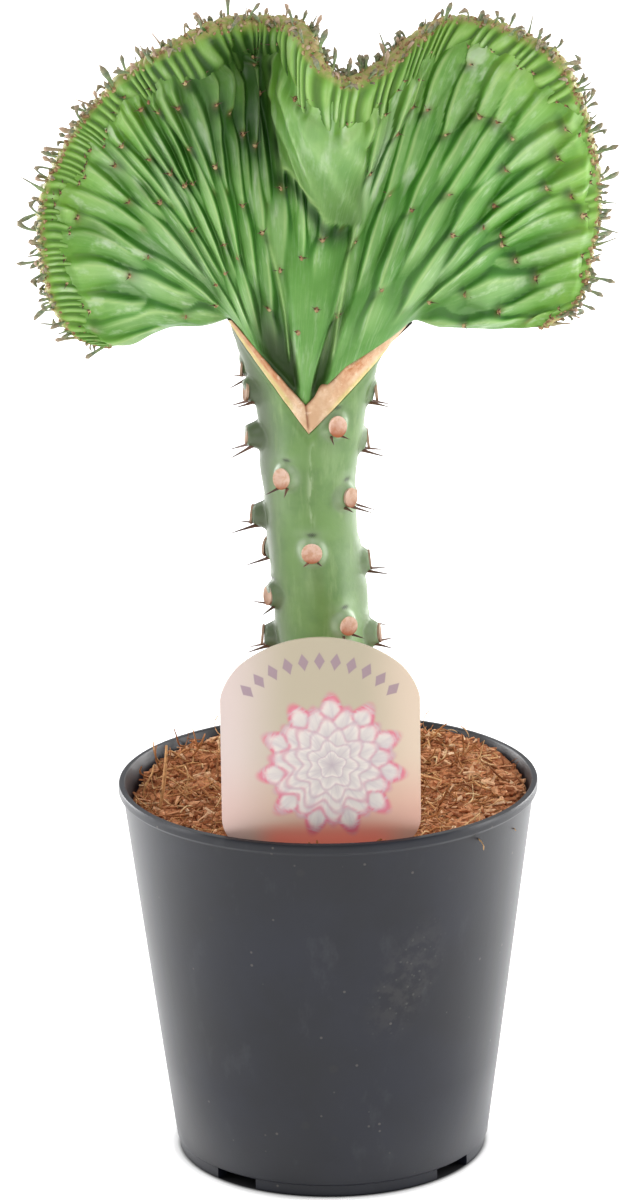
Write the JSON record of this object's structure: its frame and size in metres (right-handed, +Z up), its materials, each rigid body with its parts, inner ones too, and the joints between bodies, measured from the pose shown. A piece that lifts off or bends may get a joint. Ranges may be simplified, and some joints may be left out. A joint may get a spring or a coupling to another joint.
{
  "type": "grafted crested euphorbia in a nursery pot",
  "caption": "Fan-shaped crested succulent grafted in a V cut on a round thorny green stock, in coir in a dark plastic nursery pot with a stake label",
  "frame": {"origin": "on the pot's axis where the pot stands, under the middle of the whole plant", "axes": "+Z up along the height, +X to the right across the fan, -Y to the front where the label stands"},
  "size_m": [0.1682, 0.12, 0.3361],
  "materials": {
    "pot_plastic": "satin",
    "coir": "matte",
    "stem_skin": "satin",
    "callus": "matte",
    "crest_skin": "satin",
    "label_card": "satin"
  },
  "bodies": {
    "root": {"pot": "pot_plastic", "coir_soil": "coir", "rootstock_stem": "stem_skin", "graft_callus": "callus", "crest": "crest_skin", "plant_label": "label_card"}
  },
  "joints": []
}
